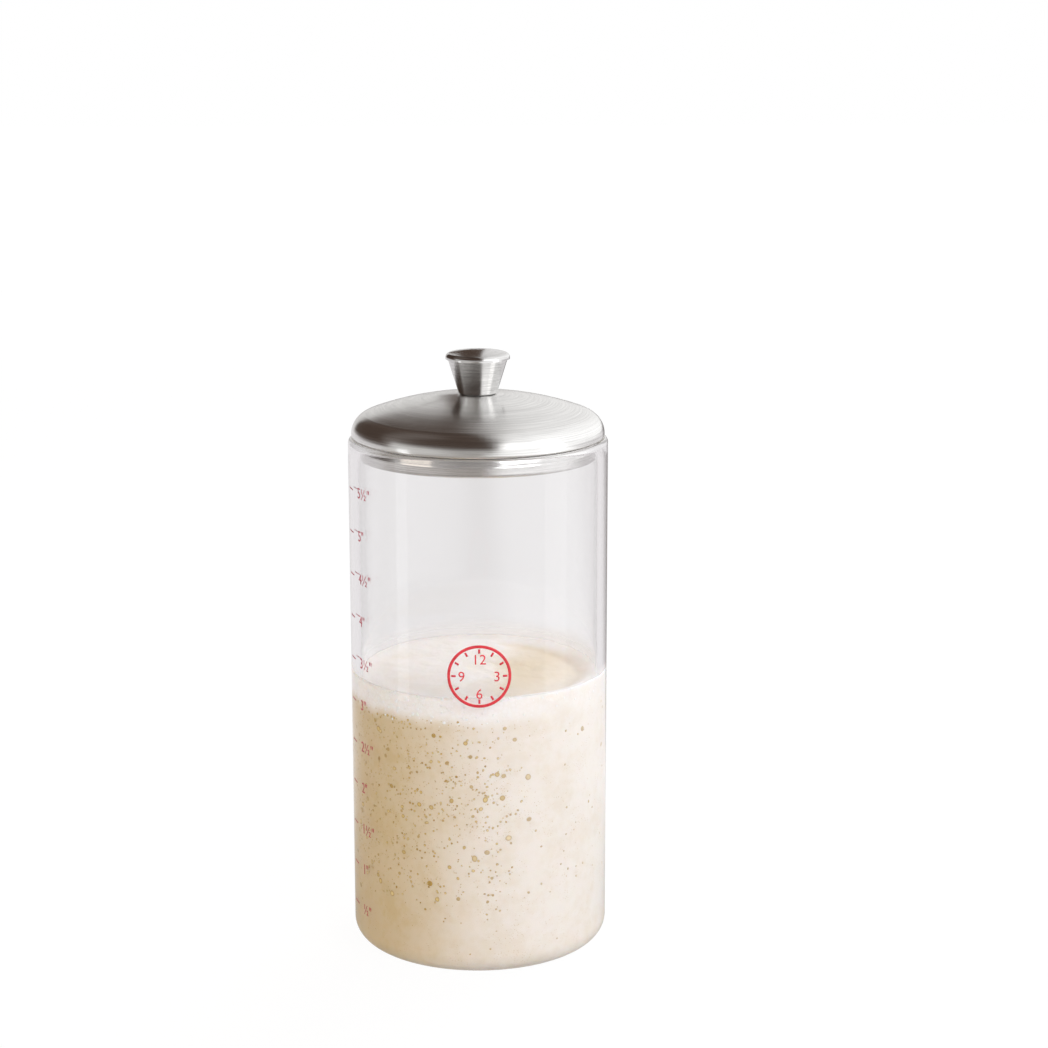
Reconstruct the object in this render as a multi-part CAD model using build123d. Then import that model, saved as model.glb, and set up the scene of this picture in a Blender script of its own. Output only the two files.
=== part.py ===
from build123d import *
import os
from math import asin, atan, cos, degrees, radians, sqrt

# Sourdough starter jar: a straight glass jar, part full of starter, under a loose spun steel lid
# with a hollow two-piece knob. Millimetres, +Z up, origin on the jar's axis at the level it
# stands on. Every outline is a half section of (radius, height) points, turned about Z.

# Glass jar
jar_radius = 38.1
jar_height = 153.0
wall = 2.8
floor_thickness = 2.4
heel_radius = 5.6
floor_corner_radius = 3.2
foot_width = 6.0
push_up_depth = 0.6

# Starter in the jar
starter_level = 83.7
starter_crown = 1.0
starter_clearance = 0.1

# Lid dome, spun from sheet, with its edge rolled under
lid_sheet = 0.6
dome_inset = 1.0
crown_radius = 95.0
shoulder_radius = 6.2
hem_radius = 1.2
rest_gap = 0.2
knob_seat_radius = 6.0

# Lid skirt, the ring that keeps the lid centred in the mouth
skirt_clearance = 0.6
skirt_depth = 5.4
bead_height = 2.9
bead_depth = 0.4
jog_height = 0.7
bend_radius = 0.35
curl_radius = 0.9
curl_width = 1.4
hem_edge_gap = 0.15

# Knob
knob_height = 12.85
knob_radius = 9.4
knob_foot_radius = 4.9
knob_foot_round = 0.9
knob_crown_radius = 40.0
knob_edge_round = 1.3
knob_sheet = 0.5
cap_lip = 0.4
cap_clearance = 0.05
flare_slope_share = 0.31

# Threaded insert in the knob
insert_radius = 3.2
insert_height = 7.4
insert_flange_radius = 4.2
insert_flange = 1.0
insert_chamfer = 0.4
thread_clearance = 0.05

# Screw and washers under the dome
screw_radius = 2.0
screw_length = 10.0
screw_tip_chamfer = 0.4
screw_hole_clearance = 0.15
head_radius = 3.9
head_height = 2.4
head_round = 1.3
recess_length = 4.2
recess_width = 0.9
recess_depth = 1.4
flat_washer_radius = 4.5
flat_washer_thickness = 0.8
washer_clearance = 0.2
lock_washer_radius = 3.6
lock_washer_thickness = 1.0
lock_washer_split = 0.6
split_angle = 20

# Overrun of every cutting tool past the face it cuts
overrun = 1.0

# Levels and radii worked out from the sizes above
inner_radius = jar_radius - wall
lip_middle_radius = jar_radius - wall / 2
lip_middle_level = jar_height - wall / 2
dome_radius = jar_radius - dome_inset
hem_middle_radius = dome_radius - hem_radius
hem_reach = hem_radius + wall / 2 + rest_gap
dome_edge_level = lip_middle_level + sqrt(hem_reach**2 - (lip_middle_radius - hem_middle_radius) ** 2)
skirt_radius = inner_radius - skirt_clearance
neck_radius = skirt_radius - bead_depth
screw_hole_radius = screw_radius + screw_hole_clearance


def cover_lean(crown, edge_round, rim_radius):
    """Angle of the crown at the point where its edge round starts."""
    return degrees(asin((rim_radius - edge_round) / (crown - edge_round)))


def cover_drop(crown, edge_round, rim_radius):
    """Height from a cover's widest circle up to the top of its crown."""
    return crown - (crown - edge_round) * cos(radians(cover_lean(crown, edge_round, rim_radius)))


def cover_line(top, crown, edge_round, rim_radius, start_radius=0):
    """Crown and edge round of a cover, from the start radius out to its widest circle."""
    lean = cover_lean(crown, edge_round, rim_radius)
    start = degrees(asin(start_radius / crown))
    crown_arc = CenterArc((0, top - crown), crown, 90 - start, start - lean)
    return crown_arc + JernArc(crown_arc @ 1, crown_arc % 1, edge_round, lean - 90)


def turned(*outline):
    """Solid of revolution about Z from the closed half section that the lines make."""
    return revolve(Plane.XZ * make_face(Curve() + list(outline)), Axis.Z)


def spun(outside, thickness, side=Side.RIGHT):
    """Sheet part of revolution: the sheet lies on the given side of its outside line."""
    section = offset(outside, thickness, kind=Kind.INTERSECTION, side=side)
    return revolve(Plane.XZ * make_face(section), Axis.Z)


def ring(outer_radius, hole_radius, bottom, height):
    """Flat ring about Z standing on the bottom level."""
    blank = Cylinder(outer_radius, height) - Cylinder(hole_radius, height + overrun)
    return Pos(0, 0, bottom + height / 2) * blank


def glass_jar():
    """Straight jar with a rounded heel, a push-up under its base and a full round lip."""
    foot_outer = jar_radius - heel_radius
    foot_inner = foot_outer - foot_width
    push_up = TangentArc((0, push_up_depth), (foot_inner, 0), tangent=(1, 0))
    foot = Line((foot_inner, 0), (foot_outer, 0))
    heel = JernArc(foot @ 1, (1, 0), heel_radius, 90)
    outside = Line(heel @ 1, (jar_radius, lip_middle_level))
    lip = JernArc(outside @ 1, (0, 1), wall / 2, 180)
    inside = Line(lip @ 1, (inner_radius, floor_thickness + floor_corner_radius))
    corner = JernArc(inside @ 1, (0, -1), floor_corner_radius, -90)
    floor = Line(corner @ 1, (0, floor_thickness))
    axis = Line((0, floor_thickness), (0, push_up_depth))
    return turned(push_up, foot, heel, outside, lip, inside, corner, floor, axis)


def starter():
    """The dough: it fills the jar to its level, with a slightly risen middle."""
    radius = inner_radius - starter_clearance
    bottom = floor_thickness + starter_clearance
    corner_radius = floor_corner_radius - starter_clearance
    floor = Line((0, bottom), (radius - corner_radius, bottom))
    corner = JernArc(floor @ 1, (1, 0), corner_radius, 90)
    side = Line(corner @ 1, (radius, starter_level))
    top = TangentArc((0, starter_level + starter_crown), side @ 1, tangent=(1, 0))
    axis = Line((0, starter_level + starter_crown), (0, bottom))
    return turned(floor, corner, side, top, axis)


def knob_seat_level():
    """Level of the small flat on top of the dome, where the knob stands."""
    top = dome_edge_level + cover_drop(crown_radius, shoulder_radius, dome_radius)
    return top - crown_radius + sqrt(crown_radius**2 - knob_seat_radius**2)


def lid_dome():
    """Spun dome: a flat for the knob, the crown, the shoulder, and the edge rolled under."""
    top = dome_edge_level + cover_drop(crown_radius, shoulder_radius, dome_radius)
    cover = cover_line(top, crown_radius, shoulder_radius, dome_radius, knob_seat_radius)
    seat = Line((screw_hole_radius, knob_seat_level()), (knob_seat_radius, knob_seat_level()))
    hem = JernArc((dome_radius, dome_edge_level), (0, -1), hem_radius, -90)
    edge_radius = neck_radius + bend_radius + hem_edge_gap
    turned_in = Line(hem @ 1, (edge_radius, dome_edge_level - hem_radius))
    return spun(seat + cover + hem + turned_in, lid_sheet)


def lid_skirt():
    """Ring with a flange on the dome's hem, a neck, a bead that guides it and a curled foot."""
    flange_level = dome_edge_level - hem_radius + lid_sheet
    bottom = jar_height - skirt_depth
    outside = FilletPolyline(
        (hem_middle_radius, flange_level),
        (neck_radius, flange_level),
        (neck_radius, bottom + bead_height + jog_height),
        (skirt_radius, bottom + bead_height),
        (skirt_radius, bottom),
        (skirt_radius - curl_width, bottom),
        radius=[bend_radius, curl_radius, curl_radius, curl_radius],
    )
    return spun(outside, lid_sheet)


def knob_rim_level():
    """Level of the knob's widest circle."""
    top = knob_seat_level() + knob_height
    return top - cover_drop(knob_crown_radius, knob_edge_round, knob_radius)


def knob_body():
    """Hollow flared cup whose floor stands on the dome and whose edge ends inside the cap."""
    lean = degrees(atan(flare_slope_share))
    floor = Line((screw_hole_radius, knob_seat_level()), (knob_foot_radius, knob_seat_level()))
    foot = JernArc(floor @ 1, (1, 0), knob_foot_round, 90 - lean)
    mouth_radius = knob_radius - knob_sheet - cap_clearance
    mouth_level = knob_rim_level() - cap_clearance
    flare = TangentArc(foot @ 1, (mouth_radius, mouth_level), tangent=foot % 1)
    return spun(floor + foot + flare, knob_sheet, side=Side.LEFT)


def knob_cap():
    """Crowned disc that closes the cup, with a short lip turned down over its edge."""
    top = knob_seat_level() + knob_height
    cover = cover_line(top, knob_crown_radius, knob_edge_round, knob_radius)
    lip = Line((knob_radius, knob_rim_level()), (knob_radius, knob_rim_level() - cap_lip))
    return spun(cover + lip, knob_sheet)


def knob_insert():
    """Tapped boss with a flange, standing on the floor inside the knob."""
    bottom = knob_seat_level() + knob_sheet
    bore = screw_radius + thread_clearance
    boss = ring(insert_radius, bore, bottom, insert_height)
    flange = ring(insert_flange_radius, bore, bottom, insert_flange)
    top_edge = boss.edges().group_by(Axis.Z)[-1].sort_by(SortBy.RADIUS)[-1]
    return chamfer(top_edge, insert_chamfer) + flange


def flat_washer_level():
    """Underside of the flat washer, which lies against the underside of the dome."""
    return knob_seat_level() - lid_sheet - flat_washer_thickness


def flat_washer():
    """Plain washer that spreads the screw's load on the sheet."""
    return ring(
        flat_washer_radius, screw_radius + washer_clearance, flat_washer_level(), flat_washer_thickness
    )


def lock_washer():
    """Split spring washer, pressed flat."""
    bottom = flat_washer_level() - lock_washer_thickness
    washer = ring(lock_washer_radius, screw_radius + washer_clearance, bottom, lock_washer_thickness)
    cut = Box(
        lock_washer_radius + overrun,
        lock_washer_split,
        lock_washer_thickness + overrun,
        align=(Align.MIN, Align.CENTER, Align.CENTER),
    )
    return washer - Rot(0, 0, split_angle) * Pos(0, 0, bottom + lock_washer_thickness / 2) * cut


def knob_screw():
    """Pan-head screw with a cross recess, driven up from inside the lid."""
    under_head = flat_washer_level() - lock_washer_thickness
    shank = Pos(0, 0, under_head + screw_length / 2) * Cylinder(screw_radius, screw_length)
    shank = chamfer(shank.edges().group_by(Axis.Z)[-1], screw_tip_chamfer)
    head = Pos(0, 0, under_head - head_height / 2) * Cylinder(head_radius, head_height)
    head = fillet(head.edges().group_by(Axis.Z)[0], head_round)
    slot = Box(recess_length, recess_width, recess_depth + overrun, align=(Align.CENTER, Align.CENTER, Align.MAX))
    cross = slot + Rot(0, 0, 90) * slot
    return head + shank - Pos(0, 0, under_head - head_height + recess_depth) * cross


pieces = {
    "glass_jar": glass_jar,
    "starter": starter,
    "lid_dome": lid_dome,
    "lid_skirt": lid_skirt,
    "knob_body": knob_body,
    "knob_cap": knob_cap,
    "knob_insert": knob_insert,
    "knob_screw": knob_screw,
    "flat_washer": flat_washer,
    "lock_washer": lock_washer,
}

os.makedirs("parts", exist_ok=True)
for name, make in pieces.items():
    piece = make()
    piece.label = name
    export_step(piece, f"parts/{name}.step")
    box = piece.bounding_box()
    print(f"{name}: volume {piece.volume:.1f}, from {box.min.Z:.2f} to {box.max.Z:.2f} high, "
          f"{box.size.X:.2f} across, {len(piece.solids())} solid, valid {piece.is_valid}")
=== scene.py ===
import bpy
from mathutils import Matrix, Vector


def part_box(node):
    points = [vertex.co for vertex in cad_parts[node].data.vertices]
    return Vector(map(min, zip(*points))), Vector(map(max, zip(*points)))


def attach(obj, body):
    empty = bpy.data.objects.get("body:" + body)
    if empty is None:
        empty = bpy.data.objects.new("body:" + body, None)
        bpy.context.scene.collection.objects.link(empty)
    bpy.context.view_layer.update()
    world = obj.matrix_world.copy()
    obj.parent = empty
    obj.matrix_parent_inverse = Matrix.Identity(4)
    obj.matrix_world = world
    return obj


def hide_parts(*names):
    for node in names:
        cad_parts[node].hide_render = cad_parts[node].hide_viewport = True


bl_info = {
    "name": "Sourdough starter jar",
    "version": (1, 0, 0),
    "blender": (4, 5, 0),
    "location": "3D View > Sidebar > Jar",
    "description": "Dresses the packed jar with glass, starter, print and spun steel on a plain stage",
    "category": "Object",
}

from math import atan2, cos, degrees, hypot, pi, radians, sin

import bmesh
import bpy

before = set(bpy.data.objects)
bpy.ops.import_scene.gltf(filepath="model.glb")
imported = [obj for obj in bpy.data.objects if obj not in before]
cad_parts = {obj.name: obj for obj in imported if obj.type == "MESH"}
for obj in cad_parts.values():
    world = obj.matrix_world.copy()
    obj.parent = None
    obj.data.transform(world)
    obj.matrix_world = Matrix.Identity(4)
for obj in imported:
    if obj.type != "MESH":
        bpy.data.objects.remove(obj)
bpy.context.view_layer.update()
MM = 0.001
WHITE = (1.0, 1.0, 1.0)
# Height of a digit as a share of the font's size
DIGIT_SHARE = 0.72


def reach(node):
    """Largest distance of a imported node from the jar's axis."""
    return max(hypot(v.co.x, v.co.y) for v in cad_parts[node].data.vertices)


JAR_RADIUS = reach("glass_jar")
JAR_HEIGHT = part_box("glass_jar")[1].z


def length(name, description, default):
    return bpy.props.FloatProperty(
        name=name, description=description, default=default, unit="LENGTH", precision=5
    )


def colour(name, description, default):
    return bpy.props.FloatVectorProperty(
        name=name, description=description, default=default, subtype="COLOR", size=3, min=0, max=1
    )


def number(name, description, default):
    return bpy.props.FloatProperty(name=name, description=description, default=default)


def count(name, description, default):
    return bpy.props.IntProperty(name=name, description=description, default=default, min=1)


class GlassSettings(bpy.types.PropertyGroup):
    wall: length("Wall", "Thickness of the glass wall", 2.8 * MM)
    floor: length("Floor", "Thickness of the glass under the starter", 2.4 * MM)
    heel: length("Heel", "Outer radius between wall and base", 5.6 * MM)
    corner: length("Corner", "Inner radius between wall and floor", 3.2 * MM)
    foot: length("Foot", "Width of the flat ring it stands on", 6.0 * MM)
    push_up: length("Push-up", "Height of the hollow under the base", 0.6 * MM)
    steps: count("Steps", "Steps around the jar", 288)
    tint: colour("Tint", "Colour that light keeps on its way through the glass", (0.897, 0.890, 0.894))


class StarterSettings(bpy.types.PropertyGroup):
    overlap: length("Overlap", "How far the starter wets into the wall", 0.04 * MM)
    level: length("Level", "Height at which it meets the wall", 83.7 * MM)
    steps: count("Steps", "Steps around the starter", 256)
    swell: length("Swell", "Height of the broad waves on its top", 2.4 * MM)
    ripple: length("Ripple", "Height of the fine waves on its top", 0.7 * MM)
    dip: length("Dip", "Depth of the sunken part of its top", 2.2 * MM)
    foam_depth: length("Foam depth", "How far the foam reaches down the glass", 7.8 * MM)
    foam_waves: length("Foam waves", "How far the foam's lower edge goes up and down", 5.0 * MM)
    smear: length("Smear", "How far the dried smear reaches up the glass", 8.0 * MM)
    pale: colour("Pale", "Colour of the risen batter", (0.87, 0.815, 0.75))
    deep: colour("Deep", "Colour of the denser batter", (0.65, 0.51, 0.28))
    foam: colour("Foam", "Colour of the foam at the top", (0.968, 0.955, 0.948))
    # Bubble colours are partly the batter's ochre and partly painted shade of the air pockets
    bubble: colour("Bubble", "Colour of the bubbles' rims against the glass", (0.47, 0.285, 0.045))
    hollow: colour("Hollow", "Colour of the shallow, golden bubbles", (0.82, 0.64, 0.24))
    small_bubbles: count("Small bubbles", "Places for small bubbles against the glass", 7500)
    large_bubbles: count("Large bubbles", "Places for large bubbles against the glass", 600)
    foam_bubbles: count("Foam bubbles", "Places for bubbles in the foam", 1500)


class PrintSettings(bpy.types.PropertyGroup):
    ink: colour("Ink", "Colour of the dial", (0.60, 0.030, 0.045))
    # The scale's ink is the dial's red darkened as painted shade, for the shaded left side where the scale
    # sits
    scale_ink: colour("Scale ink", "Darker colour of the fill scale", (0.38, 0.018, 0.045))
    thickness: length("Thickness", "Thickness of the ink", 0.05 * MM)
    pitch: length("Pitch", "Half an inch, the distance between two marks", 12.7 * MM)
    marks: count("Marks", "Number of marks on the fill scale", 11)
    number_height: length("Number height", "Height of the scale's digits", 3.2 * MM)
    scale_azimuth: number("Scale azimuth", "Degrees from the front to the left, where numbers start", 66.0)
    tick_length: length("Tick length", "Length of a scale mark around the glass", 4.2 * MM)
    tick_gap: length("Tick gap", "Distance from a mark to its number", 4.2 * MM)
    tick_width: length("Tick width", "Width of a scale mark", 0.35 * MM)
    dial_radius: length("Dial radius", "Outer radius of the plain dial on the front", 9.2 * MM)
    dial_level: length("Dial level", "Height of the dial's middle", 90.9 * MM)
    dial_line: length("Dial line", "Width of the dial's ring", 0.85 * MM)
    dial_number_height: length("Dial number height", "Height of the dial's digits", 3.0 * MM)
    hour_length: length("Hour length", "Length of the dial's hour marks", 1.3 * MM)
    hour_inset: length("Hour inset", "Distance from the ring to the middle of the hour marks", 1.4 * MM)


class SteelSettings(bpy.types.PropertyGroup):
    sheet: colour("Sheet", "Colour of the spun sheet", (0.76, 0.755, 0.745))
    # The knob's darker colour is partly painted shade, standing in for the dark room that it mirrors
    knob: colour("Knob", "Colour of the knob's darker, smoother steel", (0.66, 0.655, 0.65))
    fastener: colour("Fastener", "Colour of the screw, washers and insert", (0.56, 0.56, 0.57))
    roughness: number("Roughness", "Roughness of the brushed sheet", 0.21)
    grain: number("Grain", "Brush lines across a millimetre", 3.6)


class StageSettings(bpy.types.PropertyGroup):
    left_light: colour("Left light", "Warm, dim light from the left of the room", (0.68, 0.58, 0.50))
    right_light: colour("Right light", "Light from the right of the room", (0.80, 0.84, 0.92))
    left_wall: colour("Left wall", "What metal mirrors on the left", (0.53, 0.52, 0.51))
    front_wall: colour("Front wall", "Shaded wall that metal mirrors in front", (0.36, 0.35, 0.34))
    right_wall: colour("Right wall", "What metal mirrors on the right", WHITE)
    ceiling: colour("Ceiling", "Dark ceiling that metal mirrors on the left", (0.055, 0.038, 0.03))
    corner: colour("Corner", "Lighter corner of the ceiling on the far left", (0.12, 0.10, 0.09))
    table: colour("Table", "Shaded table that metal mirrors in front", (0.42, 0.39, 0.36))
    behind: colour("Behind", "What the glass mirrors behind it", (0.84, 0.82, 0.83))
    edge: colour("Edge", "Dark patch behind that draws the outline of the glass", (0.22, 0.20, 0.20))
    key_power: number("Key power", "Watts of the soft lamp on the right", 3.2)
    back_power: number("Back power", "Watts of the soft lamp behind", 4.5)
    side_power: number("Side power", "Watts of the warm lamp on the left", 0.85)
    camera_x: length("Camera x", "Place of the camera along x, to the right", -0.82 * MM)
    camera_y: length("Camera y", "Place of the camera along y, to the back", -712.03 * MM)
    camera_z: length("Camera z", "Height of the camera", 286.11 * MM)
    camera_lens: number("Camera lens", "Focal length in millimetres on a sensor 36 mm wide", 84.816)
    camera_down: number("Camera down", "Degrees that the camera looks down", 12.62)
    camera_roll: number("Camera roll", "Degrees that the camera leans", 0.03)
    camera_right: number("Camera right", "Degrees that the camera looks to the right", 1.157)


SETTINGS = {
    "jar_glass": GlassSettings,
    "jar_starter": StarterSettings,
    "jar_print": PrintSettings,
    "jar_steel": SteelSettings,
    "jar_stage": StageSettings,
}


class Signal:
    """An output socket on which Python's operators add Math nodes."""

    def __init__(self, graph, socket):
        self.graph = graph
        self.socket = socket

    def math(self, operation, *others):
        values = dict(enumerate((self, *others)))
        return self.graph.add("ShaderNodeMath", {"operation": operation}, values)

    def out(self, name):
        """Another output of the same node."""
        return Signal(self.graph, self.socket.node.outputs[name])

    def __add__(self, other):
        return self.math("ADD", other)

    def __sub__(self, other):
        return self.math("SUBTRACT", other)

    def __mul__(self, other):
        return self.math("MULTIPLY", other)

    def __truediv__(self, other):
        return self.math("DIVIDE", other)

    def __rsub__(self, other):
        return self.graph.add("ShaderNodeMath", {"operation": "SUBTRACT"}, {0: other, 1: self})

    __radd__ = __add__
    __rmul__ = __mul__


class Graph:
    """A node tree. add() makes one node: its type, its settings, then its sockets' values or links."""

    def __init__(self, tree):
        self.tree = tree

    def add(self, kind, settings=None, values=None, output=None):
        node = self.tree.nodes.new(kind)
        for name, value in (settings or {}).items():
            setattr(node, name, value)
        for key, value in (values or {}).items():
            socket = self.socket(node.inputs, key)
            if isinstance(value, Signal):
                self.tree.links.new(value.socket, socket)
            else:
                socket.default_value = value
        outputs = [s for s in node.outputs if s.enabled]
        if not outputs:
            return node
        return Signal(self, outputs[0] if output is None else self.socket(node.outputs, output))

    @staticmethod
    def socket(sockets, key):
        if isinstance(key, int):
            return sockets[key]
        return next(s for s in sockets if s.name == key and s.enabled)

    def smooth(self, value, low, high):
        """0 below low and 1 above high, with a soft step between."""
        values = {"Value": value, "From Min": low, "From Max": high}
        return self.add("ShaderNodeMapRange", {"interpolation_type": "SMOOTHSTEP"}, values)

    def band(self, value, rise, fall):
        """1 between two soft steps, each from its low to its high, and 0 outside them."""
        return self.smooth(value, *rise) * (1 - self.smooth(value, *fall))

    def mix(self, factor, first, second):
        values = {"Factor": factor, "A": self.shade(first), "B": self.shade(second)}
        return self.add("ShaderNodeMix", {"data_type": "RGBA"}, values)

    @staticmethod
    def shade(value):
        return value if isinstance(value, Signal) else (*value[:3], 1.0)

    def split(self, vector):
        """The x, y and z of a vector."""
        first = self.add("ShaderNodeSeparateXYZ", None, {0: vector})
        return first, first.out("Y"), first.out("Z")

    def join(self, x=0.0, y=0.0, z=0.0):
        return self.add("ShaderNodeCombineXYZ", None, {0: x, 1: y, 2: z})

    def noise(self, vector, scale, detail=2.0):
        values = {"Vector": vector, "Scale": scale, "Detail": detail}
        return self.add("ShaderNodeTexNoise", None, values)


class Finish(Graph):
    """A material in the making, on Object coordinates."""

    def __init__(self, name):
        self.material = bpy.data.materials.new(name)
        self.material.use_nodes = True
        super().__init__(self.material.node_tree)
        self.tree.nodes.clear()
        self.place = self.add("ShaderNodeTexCoord", output="Object")
        self.x, self.y, self.z = self.split(self.place)
        self.radius = (self.x * self.x + self.y * self.y).math("SQRT")
        self.angle = self.y.math("ARCTAN2", self.x)

    def bump(self, height, strength, distance):
        values = {"Height": height, "Strength": strength, "Distance": distance}
        return self.add("ShaderNodeBump", None, values)

    def cells(self, scale):
        """Distance to the nearest of many scattered points."""
        return self.add("ShaderNodeTexVoronoi", None, {"Vector": self.place, "Scale": scale})

    def principled(self, values):
        return self.add("ShaderNodeBsdfPrincipled", None, values)

    def glow(self, shade, strength):
        return self.add("ShaderNodeEmission", None, {"Color": self.shade(shade), "Strength": strength})

    def attribute(self, name):
        return self.add("ShaderNodeAttribute", {"attribute_name": name}, output="Fac")

    def either(self, factor, first, second):
        """The first surface where the factor is 0, and the second where it is 1."""
        return self.add("ShaderNodeMixShader", None, {0: factor, 1: first, 2: second})

    def done(self, surface):
        self.add("ShaderNodeOutputMaterial", None, {"Surface": surface})
        return self.material


class Recipe(Graph):
    """A Geometry Nodes tree with named inputs, whose result becomes a plain mesh."""

    def __init__(self, name):
        super().__init__(bpy.data.node_groups.new(name, "GeometryNodeTree"))
        self.values = {}
        for side in ("INPUT", "OUTPUT"):
            self.tree.interface.new_socket("Geometry", in_out=side, socket_type="NodeSocketGeometry")
        self.entry = self.tree.nodes.new("NodeGroupInput")
        self.geometry = Signal(self, self.entry.outputs["Geometry"])
        self.position = self.add("GeometryNodeInputPosition")

    def input(self, name, value):
        """A named input. Its kind follows the value's."""
        kinds = {int: "NodeSocketInt", float: "NodeSocketFloat"}
        kind = kinds.get(type(value), "NodeSocketMaterial")
        socket = self.tree.interface.new_socket(name, in_out="INPUT", socket_type=kind)
        self.values[socket.identifier] = value
        return Signal(self, self.entry.outputs[name])

    def random(self, low, high, seed):
        """A random number for each point."""
        values = {"Min": low, "Max": high, "Seed": seed}
        return self.add("FunctionNodeRandomValue", {"data_type": "FLOAT"}, values)

    def store(self, geometry, name, value, domain="POINT"):
        settings = {"data_type": "FLOAT", "domain": domain}
        values = {"Geometry": geometry, "Name": name, "Value": value}
        return self.add("GeometryNodeStoreNamedAttribute", settings, values)

    def move_to(self, geometry, position):
        return self.add("GeometryNodeSetPosition", None, {"Geometry": geometry, "Position": position})

    def move_by(self, geometry, offset):
        return self.add("GeometryNodeSetPosition", None, {"Geometry": geometry, "Offset": offset})

    def about_z(self, angle):
        """Rotation about Z."""
        return self.add("FunctionNodeEulerToRotation", None, {"Euler": self.join(z=angle)})

    def realized(self, geometry):
        return self.add("GeometryNodeRealizeInstances", None, {"Geometry": geometry})

    def copies(self, points, piece, **more):
        """Plain copies of a piece, one on each point."""
        values = {"Points": points, "Instance": piece, **more}
        return self.realized(self.add("GeometryNodeInstanceOnPoints", None, values))

    def gather(self, *geometries):
        """All of the geometries as one."""
        node = self.tree.nodes.new("GeometryNodeJoinGeometry")
        for geometry in geometries:
            self.tree.links.new(geometry.socket, node.inputs[0])
        return Signal(self, node.outputs[0])

    def make(self, name, geometry, material, mesh=None):
        """Ends the tree, runs it on the mesh and returns an object that holds the plain result."""
        smooth = self.add("GeometryNodeSetShadeSmooth", None, {"Geometry": self.realized(geometry)})
        finish = self.input("Finish", material)
        dressed = self.add("GeometryNodeSetMaterial", None, {"Geometry": smooth, "Material": finish})
        self.add("NodeGroupOutput", None, {"Geometry": dressed})
        piece = bpy.data.objects.new(name, mesh or bpy.data.meshes.new(name))
        bpy.context.scene.collection.objects.link(piece)
        modifier = piece.modifiers.new(name, "NODES")
        modifier.node_group = self.tree
        for identifier, value in self.values.items():
            modifier[identifier] = value
        plain = plain_mesh(piece)
        piece.modifiers.clear()
        piece.data = plain
        if not plain.polygons:
            raise RuntimeError(f"{name} came out empty")
        return piece


def plain_mesh(piece):
    """Mesh of an object as its modifiers or its text settings leave it."""
    depsgraph = bpy.context.evaluated_depsgraph_get()
    return bpy.data.meshes.new_from_object(piece.evaluated_get(depsgraph), depsgraph=depsgraph)


def points_mesh(name, points):
    """Mesh of loose points, (radius, height) each, in the X-Z plane."""
    mesh = bpy.data.meshes.new(name)
    mesh.from_pydata([(x, 0.0, z) for x, z in points], [], [])
    return mesh


def arc(middle, radius, first, last, steps):
    """Points of an arc, from the first angle to the last, in degrees."""
    turn = radians(last - first) / steps
    angles = [radians(first) + turn * i for i in range(steps + 1)]
    return [(middle[0] + radius * cos(a), middle[1] + radius * sin(a)) for a in angles]


def straight(start, end, steps):
    """Points of a straight run, without its two ends."""
    shares = [i / steps for i in range(1, steps)]
    return [tuple(a + (b - a) * share for a, b in zip(start, end)) for share in shares]


def face_outwards(piece):
    """Recalculates a closed piece's normals, so that its faces point outwards."""
    work = bmesh.new()
    work.from_mesh(piece.data)
    bmesh.ops.recalc_face_normals(work, faces=work.faces)
    work.to_mesh(piece.data)
    work.free()


def turned(recipe, steps):
    """Spins the profile in the recipe's geometry about Z. Rows are its points."""
    around = recipe.input("Steps", steps)
    rows = recipe.add("GeometryNodeAttributeDomainSize", None, {"Geometry": recipe.geometry})
    grid = recipe.add("GeometryNodeMeshGrid", None, {"Vertices X": rows, "Vertices Y": around + 1})
    index = recipe.add("GeometryNodeInputIndex")
    row = ((index + 0.5) / (around + 1)).math("FLOOR")
    column = index - row * (around + 1)
    values = {"Geometry": recipe.geometry, "Value": recipe.position, "Index": row}
    point = recipe.add("GeometryNodeSampleIndex", {"data_type": "FLOAT_VECTOR"}, values)
    radius, _, height = recipe.split(point)
    turn = column / around * (2 * pi)
    spot = recipe.join(radius * turn.math("COSINE"), radius * turn.math("SINE"), height)
    values = {"Geometry": recipe.move_to(grid, spot), "Distance": 0.001 * MM}
    return recipe.add("GeometryNodeMergeByDistance", None, values)


def scaled(shade, factor, lift=0.0):
    """A colour times a factor, lifted where asked, with no channel past 1."""
    return [min(channel * factor + lift, 1.0) for channel in shade]


def glass_finish(tint):
    """Clear glass that lets lamps through, with faint waves and a little dust."""
    look = Finish("clear_glass")
    waves = look.noise(look.join(look.x, look.y, look.z * 0.15), 60.0, 1.0)
    dust = look.noise(look.place, 900.0, 3.0)
    glass = look.principled({
        "Base Color": (*tint, 1.0),
        "Roughness": look.smooth(dust, 0.55, 0.8) * 0.05 + 0.004,
        "IOR": 1.47,
        "Transmission Weight": 1.0,
        "Normal": look.bump(waves, 0.05, 0.3 * MM),
    })
    clear = look.add("ShaderNodeBsdfTransparent", None, {"Color": (0.96, 0.96, 0.96, 1.0)})
    path = look.add("ShaderNodeLightPath", output="Is Shadow Ray")
    most_bounces = 5
    trapped = path.out("Ray Depth").math("GREATER_THAN", most_bounces)
    passes = path.math("MAXIMUM", path.out("Is Diffuse Ray")).math("MAXIMUM", trapped)
    return look.done(look.either(passes, glass, clear))


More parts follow.
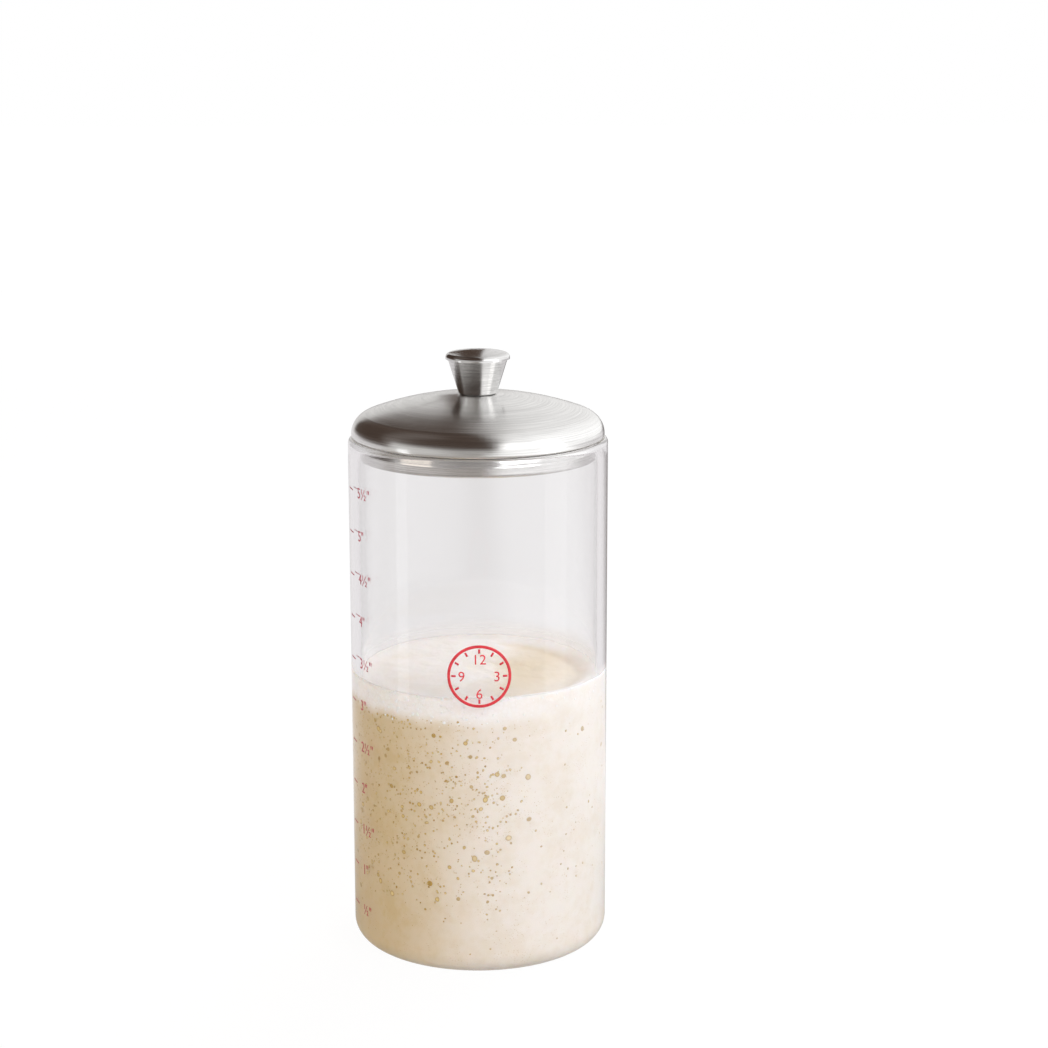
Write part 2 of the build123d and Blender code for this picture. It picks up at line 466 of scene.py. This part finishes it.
def starter_finish(starter):
    """Risen batter: a pale, mottled paste with tiny pores, ending in a whiter foam."""
    look = Finish("sourdough_starter")
    level = starter.level
    mottle = look.noise(look.place, 85.0, 4.0)
    fine = look.noise(look.place, 420.0, 3.0)
    density = look.smooth(mottle + (fine - 0.5) * 0.5, 0.35, 0.75)
    # Painted shade: the batter turns deep towards the left, the side away from the key lamp
    painted_shade_left = 1 - look.smooth(look.x, -32 * MM, 9 * MM)
    paste = look.mix(painted_shade_left * 0.9 + density * 0.22, starter.pale, starter.deep)

    ragged = look.noise(look.join(look.x, look.y, look.z * 0.4), 130.0, 3.0) - 0.5
    foam_edge = level - starter.foam_depth + ragged * starter.foam_waves
    foam = look.smooth(look.z - foam_edge, -2.2 * MM, 3.0 * MM)
    settled_side = look.smooth(look.x - look.y * 0.3, 12 * MM, 30 * MM)
    below_top = 1 - look.smooth(look.z, level - 1.0 * MM, level)
    foam = foam * (1 - settled_side * below_top * 0.6)

    # Tiny pores take the bubbles' colour, which is partly painted shade in the pits
    pore = 1 - look.smooth(look.cells(1500.0), 0.10, 0.22)
    patch = look.smooth(look.noise(look.place, 160.0), 0.45, 0.62)
    speckled = look.mix(pore * patch * (1 - foam) * 0.55, paste, starter.bubble)
    cells = look.cells(900.0)
    froth = look.mix(look.smooth(cells, 0.3, 0.75) * 0.08, starter.foam, starter.deep)
    below_edge = 1 - look.smooth(look.z, level - starter.dip, level - 0.3 * MM)
    inside_edge = 1 - look.smooth(look.radius, 29 * MM, 34 * MM)
    froth = look.mix(below_edge * inside_edge * 0.7, froth, starter.deep)
    height = mottle * 0.6 + fine * 0.3 - pore * 0.3 - cells * foam * 0.4
    body = look.principled({
        "Base Color": look.mix(foam * 0.95, speckled, froth),
        "Roughness": 0.62 - density * 0.12,
        "Normal": look.bump(height, 0.35, 0.4 * MM),
        "Subsurface Weight": 0.25,
        "Subsurface Radius": (1.0, 0.6, 0.35),
        "Subsurface Scale": 3.0 * MM,
        "Specular IOR Level": 0.35,
    })
    return look.done(body)


def bubble_finish(starter):
    """Gas bubbles against the glass: ochre with painted shade of the air pockets, each with its own depth of
    shade, darker round the rim.
    """
    look = Finish("starter_bubbles")
    rim = look.attribute("rim")
    # Painted shade: a darker ring round each bubble's rim
    ring = look.smooth(rim, 0.45, 0.8)
    # Each bubble's random tone sets how deep it looks; darker ones carry more painted shade
    inside = look.mix(look.attribute("tone"), scaled(starter.bubble, 0.8), starter.hollow)
    hollow = look.mix(ring, inside, starter.bubble)
    # The fade attribute also makes bubbles on the right paler, as painted light
    blend = look.attribute("fade_and_painted_light").math("MAXIMUM", look.smooth(rim, 0.86, 1.0) * 0.5)
    body = look.principled({
        "Base Color": look.mix(blend, hollow, starter.pale),
        "Roughness": 0.35 + ring * 0.2,
        "Normal": look.bump(look.noise(look.place, 1200.0), 0.2, 0.1 * MM),
        "Specular IOR Level": 0.4,
    })
    return look.done(body)


def foam_finish(starter):
    """The foam's own thin-walled bubbles."""
    look = Finish("starter_foam")
    tone = look.attribute("tone")
    body = look.principled({
        "Base Color": look.mix(tone * tone * 0.14, starter.foam, starter.deep),
        "Roughness": 0.35 + tone * 0.2,
        "Normal": look.bump(look.noise(look.place, 900.0), 0.15, 0.1 * MM),
        "Subsurface Weight": 0.2,
        "Subsurface Scale": 1.0 * MM,
    })
    return look.done(body)


def smear_finish(starter):
    """Dried smear that a falling starter leaves on the glass, broken up and thinning upwards."""
    look = Finish("starter_smear")
    fresh = 1 - look.smooth(look.z, starter.level, starter.level + starter.smear)
    back = look.smooth(look.y, -26 * MM, 12 * MM) * 0.8 + 0.2
    streaks = look.noise(look.join(look.x, look.y, look.z * 0.6), 45.0, 3.0)
    cover = fresh * fresh * (streaks * 0.9 + 0.6) * back
    body = look.principled({
        "Base Color": look.mix(streaks * 0.1, starter.foam, starter.pale),
        "Roughness": 0.5 + streaks * 0.2,
        "Alpha": (cover * 0.42).math("MINIMUM", 0.8),
        "Normal": look.bump(streaks, 0.2, 0.2 * MM),
    })
    return look.done(body)


def steel_finish(name, shade, roughness, grain, spun=0.7):
    """Stainless steel brushed on the lathe: fine rings about the jar's axis, with light scuffs."""
    look = Finish(name)
    run = look.join(look.radius, look.z, look.angle * (0.4 * MM))
    rings = look.noise(run, grain / MM, 3.0)
    broad = look.noise(run, grain / MM * 0.13)
    scuff = look.smooth(look.noise(look.place, 120.0, 3.0), 0.55, 0.75)
    tone = (rings - 0.5) * 1.4 + (broad - 0.5) * 0.4 - scuff * 0.05
    metal = look.principled({
        "Base Color": look.mix(tone + 0.5, scaled(shade, 0.72), scaled(shade, 1.22)),
        "Metallic": 1.0,
        "Roughness": rings * 0.10 + scuff * 0.05 + (roughness - 0.05),
        "Anisotropic": spun,
        "Anisotropic Rotation": 0.25,
        "Normal": look.bump(rings + broad, 0.2, 0.02 * MM),
    })
    return look.done(metal)


def ink_finish(name, ink):
    """Fired red ink: slightly uneven cover and a soft gloss."""
    look = Finish(name)
    cover = look.noise(look.place, 700.0, 3.0)
    body = look.principled({
        "Base Color": look.mix(look.smooth(cover, 0.3, 0.8), ink, scaled(ink, 1.3, lift=0.01)),
        "Roughness": 0.28 + cover * 0.15,
        "Normal": look.bump(cover, 0.1, 0.02 * MM),
        "Specular IOR Level": 0.4,
    })
    return look.done(body)


class JAR_OT_glass(bpy.types.Operator):
    """Turns the glass jar from its profile: push-up, foot, heel, wall, fire-polished lip and floor"""

    bl_idname = "jar.glass"
    bl_label = "Glass"

    def execute(self, context):
        glass = context.scene.jar_glass
        foot_outer = JAR_RADIUS - glass.heel
        foot_inner = foot_outer - glass.foot
        inner = JAR_RADIUS - glass.wall
        lip = glass.wall / 2
        lip_level = JAR_HEIGHT - lip
        corner_radius = inner - glass.corner
        corner_level = glass.floor + glass.corner
        dish = (foot_inner**2 + glass.push_up**2) / (2 * glass.push_up)
        dish_edge = 90 - degrees(atan2(foot_inner, dish - glass.push_up))
        points = arc((0, glass.push_up - dish), dish, 90, dish_edge, 12)
        points[0] = (0.0, glass.push_up)
        points += arc((foot_outer, glass.heel), glass.heel, -90, 0, 18)
        points += straight((JAR_RADIUS, glass.heel), (JAR_RADIUS, lip_level), 40)
        points += arc((JAR_RADIUS - lip, lip_level), lip, 0, 180, 20)
        points += straight((inner, lip_level), (inner, corner_level), 40)
        points += arc((corner_radius, corner_level), glass.corner, 0, -90, 14)
        points += straight((corner_radius, glass.floor), (0.0, glass.floor), 8)
        points += [(0.0, glass.floor)]
        recipe = Recipe("turned_glass")
        mesh = points_mesh("glass", points)
        jar = recipe.make("jar_glass", turned(recipe, glass.steps), glass_finish(glass.tint), mesh)
        face_outwards(jar)
        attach(jar, "jar")
        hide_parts("glass_jar")
        return {"FINISHED"}


class JAR_OT_starter(bpy.types.Operator):
    """Turns the starter's body, with an uneven top that dips towards one side"""

    bl_idname = "jar.starter"
    bl_label = "Starter"

    def execute(self, context):
        starter = context.scene.jar_starter
        glass = context.scene.jar_glass
        radius = JAR_RADIUS - glass.wall + starter.overlap
        floor = glass.floor - starter.overlap
        corner = glass.corner
        top = starter.level
        points = [(0.0, floor)] + straight((0.0, floor), (radius - corner, floor), 10)
        points += arc((radius - corner, floor + corner), corner, -90, 0, 10)
        points += straight((radius, floor + corner), (radius, top), 60) + [(radius, top)]
        points += straight((radius, top), (0.0, top), 64) + [(0.0, top)]
        recipe = Recipe("turned_starter")
        solid = turned(recipe, starter.steps)
        x, y, z = recipe.split(recipe.position)
        away = (x * x + y * y).math("SQRT")
        near_top = recipe.smooth(z, top - 3.0 * MM, top)
        broad = recipe.noise(recipe.position, recipe.input("Swell scale", 55.0))
        fine = recipe.noise(recipe.position, recipe.input("Ripple scale", 240.0), 3.0)
        bank = recipe.smooth(away, radius * 0.80, radius * 0.985)
        side = recipe.smooth(x - y * 0.1, -10 * MM, 24 * MM)
        dip = (1 - bank) * recipe.input("Dip depth", starter.dip) * (side * 0.85 + 0.2)
        swell = (broad - 0.5) * recipe.input("Swell height", starter.swell)
        ripple = (fine - 0.5) * recipe.input("Ripple height", starter.ripple)
        inwards = 1 - recipe.smooth(away, radius * 0.8, radius) * 0.7
        lift = (swell * inwards + ripple - dip) * near_top
        shaped = recipe.move_by(solid, recipe.join(z=lift))
        mesh = points_mesh("starter", points)
        body = recipe.make("starter_body", shaped, starter_finish(starter), mesh)
        face_outwards(body)
        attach(body, "jar")
        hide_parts("starter")
        return {"FINISHED"}


def on_the_wall(recipe, places, radius, low, high, seed):
    """Points scattered on a cylinder between two levels."""
    wall = recipe.input("Wall radius", radius)
    turn = recipe.random(0.0, 2 * pi, seed)
    level = recipe.random(low, high, seed + 1)
    points = recipe.add("GeometryNodePoints", None, {"Count": recipe.input("Places", places)})
    spot = recipe.join(wall * turn.math("COSINE"), wall * turn.math("SINE"), level)
    return recipe.move_to(points, spot)


def bubbles_on(recipe, points, density, seed, sizes, flatness, power, segments):
    """Flattened bubbles on a share of the points, most of them small, facing outwards."""
    keep = recipe.random(0.0, 1.0, seed + 2).math("LESS_THAN", density)
    values = {"Segments": segments, "Rings": segments // 2, "Radius": 1.0}
    ball = recipe.add("GeometryNodeMeshUVSphere", None, values)
    x, y, _ = recipe.split(recipe.position)
    ball = recipe.store(ball, "rim", (x * x + y * y).math("SQRT"))
    smallest = recipe.input("Smallest radius", sizes[0])
    largest = recipe.input("Largest radius", sizes[1])
    size = smallest + (largest - smallest) * recipe.random(0.0, 1.0, seed + 3).math("POWER", power)
    values = {"Vector": recipe.join(x, y, 0.0)}
    outwards = recipe.add("FunctionNodeAlignRotationToVector", {"axis": "Z"}, values)
    values = {"Rotation": outwards, "Rotate By": recipe.about_z(recipe.random(0.0, pi, seed + 4))}
    face = recipe.add("FunctionNodeRotateRotation", {"rotation_space": "LOCAL"}, values)
    stretch = recipe.random(0.88, 1.14, seed + 5)
    scale = recipe.join(size * stretch, size / stretch, size * flatness)
    values = {"Points": points, "Instance": ball, "Selection": keep, "Rotation": face, "Scale": scale}
    return recipe.add("GeometryNodeInstanceOnPoints", None, values)


class JAR_OT_bubbles(bpy.types.Operator):
    """Scatters gas bubbles between the starter and the glass, many small ones and some large ones"""

    bl_idname = "jar.bubbles"
    bl_label = "Bubbles"

    def execute(self, context):
        starter = context.scene.jar_starter
        glass = context.scene.jar_glass
        radius = JAR_RADIUS - glass.wall + starter.overlap
        low = glass.floor + glass.corner
        high = starter.level - 7.0 * MM
        finish = bubble_finish(starter)
        small = {"sizes": (0.11 * MM, 0.42 * MM), "flatness": 0.35, "power": 2.2, "segments": 8}
        large = {"sizes": (0.38 * MM, 0.95 * MM), "flatness": 0.16, "power": 2.6, "segments": 14}
        kinds = (
            ("small_bubbles", starter.small_bubbles, small, 11),
            ("large_bubbles", starter.large_bubbles, large, 41),
        )
        for name, places, shape, seed in kinds:
            recipe = Recipe(name)
            points = on_the_wall(recipe, places, radius, low, high, seed)
            x, _, z = recipe.split(recipe.position)
            calm = recipe.smooth(x, -5 * MM, 18 * MM)
            risen = recipe.smooth(z, 15 * MM, 30 * MM) * 0.92 + 0.08
            clusters = recipe.noise(recipe.position, recipe.input("Cluster scale", 75.0))
            crowd = recipe.smooth(clusters, 0.32, 0.6) * 0.5 + 0.5
            density = (1 - calm * 0.93) * risen * crowd
            bubbles = bubbles_on(recipe, points, density, seed, **shape)
            bubbles = recipe.store(bubbles, "tone", recipe.random(0.0, 0.9, seed + 6), "INSTANCE")
            # The random part is each bubble's own paleness; the part that grows to the right is painted
            # light, paler where the key lamp falls
            fade_and_painted_light = recipe.random(0.0, 0.15, seed + 7) + recipe.smooth(x, -14 * MM, 14 * MM) * 0.28
            bubbles = recipe.store(bubbles, "fade_and_painted_light", fade_and_painted_light, "INSTANCE")
            piece = recipe.make(name, bubbles, finish)
            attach(piece, "jar")
        return {"FINISHED"}


class JAR_OT_foam(bpy.types.Operator):
    """Piles small pale bubbles round the starter's top edge and smears the glass above it"""

    bl_idname = "jar.foam"
    bl_label = "Foam"

    def execute(self, context):
        starter = context.scene.jar_starter
        glass = context.scene.jar_glass
        inner = JAR_RADIUS - glass.wall
        top = starter.level
        seed = 71
        recipe = Recipe("foam_bubbles")
        radius = inner + starter.overlap
        points = on_the_wall(recipe, starter.foam_bubbles, radius, top - 9.0 * MM, top, seed)
        x, y, z = recipe.split(recipe.position)
        settled = recipe.smooth(x - y * 0.3, 6 * MM, 26 * MM)
        density = recipe.smooth(z, top - 10.0 * MM, top - 4.0 * MM) * (1 - settled * 0.9)
        shape = {"sizes": (0.12 * MM, 0.55 * MM), "flatness": 0.3, "power": 3.0, "segments": 10}
        bubbles = bubbles_on(recipe, points, density, seed, **shape)
        bubbles = recipe.store(bubbles, "tone", recipe.random(0.0, 1.0, seed + 6), "INSTANCE")
        foam = recipe.make("foam_bubbles", bubbles, foam_finish(starter))
        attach(foam, "jar")

        outer = inner - 0.01 * MM
        within = inner - 0.05 * MM
        low = top - 1.0 * MM
        high = top + starter.smear
        rise = straight((outer, low), (outer, high), 12)
        fall = straight((within, high), (within, low), 12)
        points = [(outer, low), *rise, (outer, high), (within, high), *fall, (within, low), (outer, low)]
        recipe = Recipe("turned_smear")
        mesh = points_mesh("smear", points)
        solid = turned(recipe, starter.steps)
        smear = recipe.make("starter_smear", solid, smear_finish(starter), mesh)
        face_outwards(smear)
        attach(smear, "jar")
        return {"FINISHED"}


def lettering(text, height, place, thickness, align="CENTER"):
    """Flat mesh of a text, with its digits that high and centred in height on its place."""
    curve = bpy.data.curves.new("lettering", "FONT")
    curve.body = text
    curve.size = height / DIGIT_SHARE
    curve.extrude = thickness / 2
    curve.align_x = align
    curve.resolution_u = 4
    holder = bpy.data.objects.new("lettering", curve)
    bpy.context.scene.collection.objects.link(holder)
    mesh = plain_mesh(holder)
    bpy.data.objects.remove(holder)
    for vertex in mesh.vertices:
        vertex.co.x += place[0]
        vertex.co.y += place[1] - height / 2
        vertex.co.z += thickness / 2
    return mesh


def one_mesh(name, meshes):
    """Joins flat meshes into one."""
    work = bmesh.new()
    for mesh in meshes:
        work.from_mesh(mesh)
    joined = bpy.data.meshes.new(name)
    work.to_mesh(joined)
    work.free()
    return joined


def wrapped(recipe, flat, azimuth, level):
    """Wraps flat artwork, x around and y up, on the outside of the glass."""
    radius = recipe.input("Jar radius", JAR_RADIUS)
    start = recipe.input("Azimuth", radians(azimuth))
    height = recipe.input("Level", level)
    x, y, z = recipe.split(recipe.position)
    turn = start - x / radius
    away = radius + z
    spot = recipe.join(0 - away * turn.math("SINE"), 0 - away * turn.math("COSINE"), y + height)
    return recipe.move_to(flat, spot)


def half_inches(mark):
    """Text of a mark of the scale, in inches and halves."""
    whole = str(mark // 2) if mark > 1 else ""
    return whole + ("½" if mark % 2 else "") + '"'


class JAR_OT_scale(bpy.types.Operator):
    """Prints the fill scale: a mark and a number of inches every half inch"""

    bl_idname = "jar.scale"
    bl_label = "Fill scale"

    def execute(self, context):
        artwork = context.scene.jar_print
        recipe = Recipe("fill_scale")
        thickness = recipe.input("Ink thickness", artwork.thickness)
        pitch = recipe.input("Pitch", artwork.pitch)
        total = recipe.input("Marks", artwork.marks)
        long = recipe.input("Mark length", artwork.tick_length)
        wide = recipe.input("Mark width", artwork.tick_width)
        step = recipe.join(y=pitch)
        values = {"Count": total, "Offset": step, "Start Location": step}
        rungs = recipe.add("GeometryNodeMeshLine", None, values)
        values = {"Size": recipe.join(long, wide, thickness), "Vertices X": 13}
        bar = recipe.add("GeometryNodeMeshCube", None, values)
        aside = 0 - long * 0.5 - recipe.input("Mark gap", artwork.tick_gap)
        bar = recipe.move_by(bar, recipe.join(aside, 0.0, thickness * 0.5))
        flat = recipe.gather(recipe.geometry, recipe.copies(rungs, bar))
        numbers = []
        for mark in range(1, artwork.marks + 1):
            place = (0.0, mark * artwork.pitch)
            text = half_inches(mark)
            numbers.append(lettering(text, artwork.number_height, place, artwork.thickness, "LEFT"))
        mesh = one_mesh("scale_numbers", numbers)
        around = wrapped(recipe, flat, artwork.scale_azimuth, 0.0)
        # The scale's darker ink is painted shade
        scale = recipe.make("fill_scale", around, ink_finish("scale_ink", artwork.scale_ink), mesh)
        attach(scale, "jar")
        return {"FINISHED"}


class JAR_OT_dial(bpy.types.Operator):
    """Prints a plain dial on the front, to note the hour of the last feed"""

    bl_idname = "jar.dial"
    bl_label = "Dial"

    def execute(self, context):
        artwork = context.scene.jar_print
        recipe = Recipe("feeding_dial")
        thickness = recipe.input("Ink thickness", artwork.thickness)
        line = recipe.input("Line width", artwork.dial_line)
        middle = recipe.input("Ring radius", artwork.dial_radius - artwork.dial_line / 2)
        hours = recipe.input("Hours", 12)
        values = {"Resolution": 96, "Radius": middle}
        path = recipe.add("GeometryNodeCurvePrimitiveCircle", {"mode": "RADIUS"}, values)
        values = {"Width": line, "Height": thickness}
        section = recipe.add("GeometryNodeCurvePrimitiveQuadrilateral", None, values)
        values = {"Curve": path, "Profile Curve": section}
        lift = recipe.join(z=thickness * 0.5)
        ring = recipe.move_by(recipe.add("GeometryNodeCurveToMesh", None, values), lift)
        values = {"Vertices": hours, "Radius": middle - artwork.hour_inset}
        spots = recipe.add("GeometryNodeMeshCircle", None, values)
        x, y, _ = recipe.split(recipe.position)
        size = recipe.join(artwork.hour_length, line * 0.7, thickness)
        bar = recipe.move_by(recipe.add("GeometryNodeMeshCube", None, {"Size": size}), lift)
        ticks = recipe.copies(spots, bar, Rotation=recipe.about_z(y.math("ARCTAN2", x)))
        flat = recipe.gather(recipe.geometry, ring, ticks)
        away = artwork.dial_radius * 0.55
        numbers = []
        for hour in (3, 6, 9, 12):
            turn = hour * pi / 6
            place = (away * sin(turn), away * cos(turn))
            numbers.append(lettering(str(hour), artwork.dial_number_height, place, artwork.thickness))
        mesh = one_mesh("dial_numbers", numbers)
        around = wrapped(recipe, flat, 0.0, artwork.dial_level)
        dial = recipe.make("feeding_dial", around, ink_finish("dial_ink", artwork.ink), mesh)
        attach(dial, "jar")
        return {"FINISHED"}


class JAR_OT_steel(bpy.types.Operator):
    """Gives the lid, the knob and the fasteners their steel"""

    bl_idname = "jar.steel"
    bl_label = "Steel"

    def execute(self, context):
        steel = context.scene.jar_steel
        sheet = steel_finish("spun_steel", steel.sheet, steel.roughness, steel.grain)
        # Painted shade: the knob's steel is darker than the sheet's
        knob = steel_finish("knob_steel", steel.knob, steel.roughness - 0.06, steel.grain, spun=0.5)
        plain = steel_finish("fastener_steel", steel.fastener, steel.roughness + 0.08, steel.grain, spun=0.0)
        finishes = {
            "lid_dome": sheet,
            "lid_skirt": sheet,
            "knob_body": knob,
            "knob_cap": knob,
            "knob_insert": plain,
            "knob_screw": plain,
            "flat_washer": plain,
            "lock_washer": plain,
        }
        for node, finish in finishes.items():
            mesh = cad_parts[node].data
            mesh.materials.clear()
            mesh.materials.append(finish)
        return {"FINISHED"}


def mirrored_path(graph):
    """Two masks: rays that the camera sees plainly or through glass, and rays that a surface mirrors."""
    path = graph.add("ShaderNodeLightPath", output="Glossy Depth")
    glossed = path.math("GREATER_THAN", 0.5)
    lighting = path.out("Is Diffuse Ray").math("MAXIMUM", path.out("Is Shadow Ray"))
    plain = path.out("Is Camera Ray").math("MAXIMUM", path.out("Is Transmission Ray"))
    return plain * (1 - glossed), glossed * (1 - lighting)


def floor_finish(stage):
    """Plain pale floor, nearly white to the camera but for the object's soft shadow."""
    look = Finish("pale_floor")
    plain, mirrored = mirrored_path(look)
    in_front = 1 - look.smooth(look.y, 0.0, 0.25)
    lit = look.smooth(look.x, 0.02, 0.30) + (1 - look.smooth(look.x, -0.62, -0.22)) * 0.4
    # The glass mirrors a dark wedge of the floor behind it, which draws its outline
    aside = look.x / look.y.math("MAXIMUM", 0.01)
    wedge = look.band(aside, (-0.24, -0.02), (0.32, 0.58))
    behind = look.mix(wedge * look.smooth(look.y, 0.02, 0.12), stage.behind, stage.edge)
    table = look.mix(in_front * (1 - lit), WHITE, stage.table)
    colours = look.mix(mirrored, WHITE, look.mix(in_front, behind, table))
    light = look.glow(colours, mirrored * in_front * lit * 0.34 + 1.01)
    matt = look.add("ShaderNodeBsdfDiffuse", None, {"Color": (0.9, 0.9, 0.9, 1.0)})
    # Painted bounce light: the floor glows for diffuse rays and lifts the jar's shaded underside and base
    painted_bounce_glow = look.add("ShaderNodeLightPath", output="Is Diffuse Ray") * 0.45
    far = look.smooth(look.radius, 0.4, 1.6)
    shown = (plain.math("MAXIMUM", mirrored) * (far * 0.07 + 0.93)).math("MAXIMUM", painted_bounce_glow)
    return look.done(look.either(shown, matt, light))


def world_light(scene, stage):
    """White to the camera and through glass, soft light on the object, and a room for metal to mirror."""
    scene.world = bpy.data.worlds.new("studio")
    scene.world.use_nodes = True
    graph = Graph(scene.world.node_tree)
    graph.tree.nodes.clear()
    # x points to the right, y away from the camera and z up. aloft is the angle up from the far side.
    x, y, z = graph.split(graph.add("ShaderNodeTexCoord", output="Generated"))
    aloft = z.math("ARCTAN2", y)
    across = graph.smooth(x, -0.35, 0.75)
    in_front = 1 - graph.smooth(y, -0.3, -0.05)
    shaded = in_front * graph.band(x, (-0.75, -0.25), (0.15, 0.4))
    walls = graph.mix(shaded, graph.mix(across, stage.left_wall, stage.right_wall), stage.front_wall)

    # The dark ceiling starts lower on the far left, and ends towards the right
    raised = graph.smooth(x, -0.25, -0.10) * 0.32
    lowered = (1 - graph.smooth(x, -0.50, -0.30)) * 0.3
    above = graph.smooth(y, -0.15, 0.05).math("MAXIMUM", graph.smooth(z, 0.30, 0.46))
    on_the_left = 1 - graph.smooth(x - aloft * 0.13, -0.21, 0.05)
    overhead = graph.smooth(aloft - raised + lowered, 0.18, 0.38) * above * on_the_left
    far_left = 1 - graph.smooth(x, -0.45, -0.15)
    corner = far_left * graph.smooth(aloft, 0.9, 1.3) * graph.smooth(y, -0.3, 0.1)
    room = graph.mix(overhead, walls, graph.mix(corner, stage.ceiling, stage.corner))

    well_in_front = 1 - graph.smooth(y, -0.6, -0.35)
    window = graph.smooth(x, 0.22, 0.38) * well_in_front * graph.smooth(z, 0.2, 0.35)
    lit = graph.mix(across, stage.left_light, stage.right_light)
    plain, mirrored = mirrored_path(graph)
    shown = graph.mix(plain, graph.mix(mirrored, lit, room), WHITE)
    values = {"Color": shown, "Strength": mirrored * (window * 0.6 + 0.3) + 1.0}
    light = graph.add("ShaderNodeBackground", None, values)
    graph.add("ShaderNodeOutputWorld", None, {"Surface": light})


def flat_panel(name, corners, material):
    """A four-cornered stage panel."""
    mesh = bpy.data.meshes.new(name)
    mesh.from_pydata(corners, [], [(0, 1, 2, 3)])
    mesh.materials.append(material)
    panel = bpy.data.objects.new(name, mesh)
    bpy.context.scene.collection.objects.link(panel)
    return panel


def mirrored_card(name, shade, strength, azimuth, distance, width, low, high):
    """Upright card that only reflections show, at an azimuth from the front, positive to the right."""
    look = Finish(name)
    turn = radians(azimuth)
    middle = (distance * sin(turn), -distance * cos(turn))
    across = (cos(turn) * width / 2, sin(turn) * width / 2)
    left = (middle[0] - across[0], middle[1] - across[1])
    right = (middle[0] + across[0], middle[1] + across[1])
    corners = [(*left, low), (*right, low), (*right, high), (*left, high)]
    card = flat_panel(name, corners, look.done(look.glow(shade, strength)))
    for ray in ("camera", "diffuse", "transmission", "volume_scatter", "shadow"):
        setattr(card, "visible_" + ray, False)


def soft_lamp(name, power, shade, azimuth, elevation, size, distance=0.9, target=0.09):
    """Square lamp at an azimuth from the front, positive to the right, aimed at a height on the axis."""
    lamp = bpy.data.lights.new(name, "AREA")
    lamp.shape = "SQUARE"
    lamp.size = size
    lamp.energy = power
    lamp.color = shade
    holder = bpy.data.objects.new(name, lamp)
    across = distance * cos(radians(elevation))
    holder.location = (
        across * sin(radians(azimuth)),
        -across * cos(radians(azimuth)),
        target + distance * sin(radians(elevation)),
    )
    holder.rotation_euler = (radians(90 - elevation), 0.0, radians(azimuth))
    holder.visible_glossy = False
    bpy.context.scene.collection.objects.link(holder)


def camera_on(scene, stage):
    """Sets the scene's camera as the settings place and turn it."""
    camera = bpy.data.cameras.new("camera")
    camera.sensor_width = 36.0
    camera.lens = stage.camera_lens
    holder = bpy.data.objects.new("camera", camera)
    holder.location = (stage.camera_x, stage.camera_y, stage.camera_z)
    turns = (90 - stage.camera_down, stage.camera_roll, -stage.camera_right)
    holder.rotation_euler = [radians(turn) for turn in turns]
    scene.collection.objects.link(holder)
    scene.camera = holder


class JAR_OT_stage(bpy.types.Operator):
    """Sets the floor, the soft lamps, the cards that only the metal and the glass mirror, and the camera"""

    bl_idname = "jar.stage"
    bl_label = "Stage"

    def execute(self, context):
        scene = context.scene
        stage = scene.jar_stage
        scene.view_settings.view_transform = "Standard"
        world_light(scene, stage)
        half = 4
        corners = [(-half, -half, 0), (half, -half, 0), (half, half, 0), (-half, half, 0)]
        flat_panel("floor", corners, floor_finish(stage))
        soft_lamp("key", stage.key_power, (0.97, 0.985, 1.0), azimuth=38, elevation=32, size=0.6)
        soft_lamp("back", stage.back_power, (1.0, 0.99, 0.98), azimuth=150, elevation=42, size=0.6)
        soft_lamp("side", stage.side_power, (1.0, 0.90, 0.78), azimuth=-60, elevation=20, size=0.5)
        right = {"azimuth": 68, "distance": 0.30, "width": 0.12, "low": 0.001, "high": 0.42}
        left = {"azimuth": -67, "distance": 0.30, "width": 0.06, "low": 0.001, "high": 0.16}
        behind = {"azimuth": -177.1, "distance": 0.15, "width": 0.025, "low": 0.192, "high": 0.29}
        mirrored_card("right_strip", WHITE, 2.0, **right)
        mirrored_card("left_strip", WHITE, 1.5, **left)
        mirrored_card("dark_flag", stage.ceiling, 1.6, **behind)
        camera_on(scene, stage)
        return {"FINISHED"}


class JAR_PT_panel(bpy.types.Panel):
    """Settings and steps of the jar"""

    bl_label = "Sourdough starter jar"
    bl_idname = "JAR_PT_panel"
    bl_space_type = "VIEW_3D"
    bl_region_type = "UI"
    bl_category = "Jar"

    def draw(self, context):
        for group in SETTINGS:
            settings = getattr(context.scene, group)
            box = self.layout.box()
            for name in settings.bl_rna.properties.keys():
                if name not in ("rna_type", "name"):
                    box.prop(settings, name)
        for operator in OPERATORS:
            self.layout.operator(operator.bl_idname)


OPERATORS = (
    JAR_OT_glass,
    JAR_OT_starter,
    JAR_OT_bubbles,
    JAR_OT_foam,
    JAR_OT_scale,
    JAR_OT_dial,
    JAR_OT_steel,
    JAR_OT_stage,
)


def register():
    for group, settings in SETTINGS.items():
        bpy.utils.register_class(settings)
        setattr(bpy.types.Scene, group, bpy.props.PointerProperty(type=settings))
    for operator in OPERATORS:
        bpy.utils.register_class(operator)
    bpy.utils.register_class(JAR_PT_panel)


def unregister():
    bpy.utils.unregister_class(JAR_PT_panel)
    for operator in reversed(OPERATORS):
        bpy.utils.unregister_class(operator)
    for group, settings in SETTINGS.items():
        delattr(bpy.types.Scene, group)
        bpy.utils.unregister_class(settings)


def main():
    register()
    bpy.ops.jar.glass()
    bpy.ops.jar.starter()
    bpy.ops.jar.bubbles()
    bpy.ops.jar.foam()
    bpy.ops.jar.scale()
    bpy.ops.jar.dial()
    bpy.ops.jar.steel()
    bpy.ops.jar.stage()


if __name__ == "__main__":
    main()
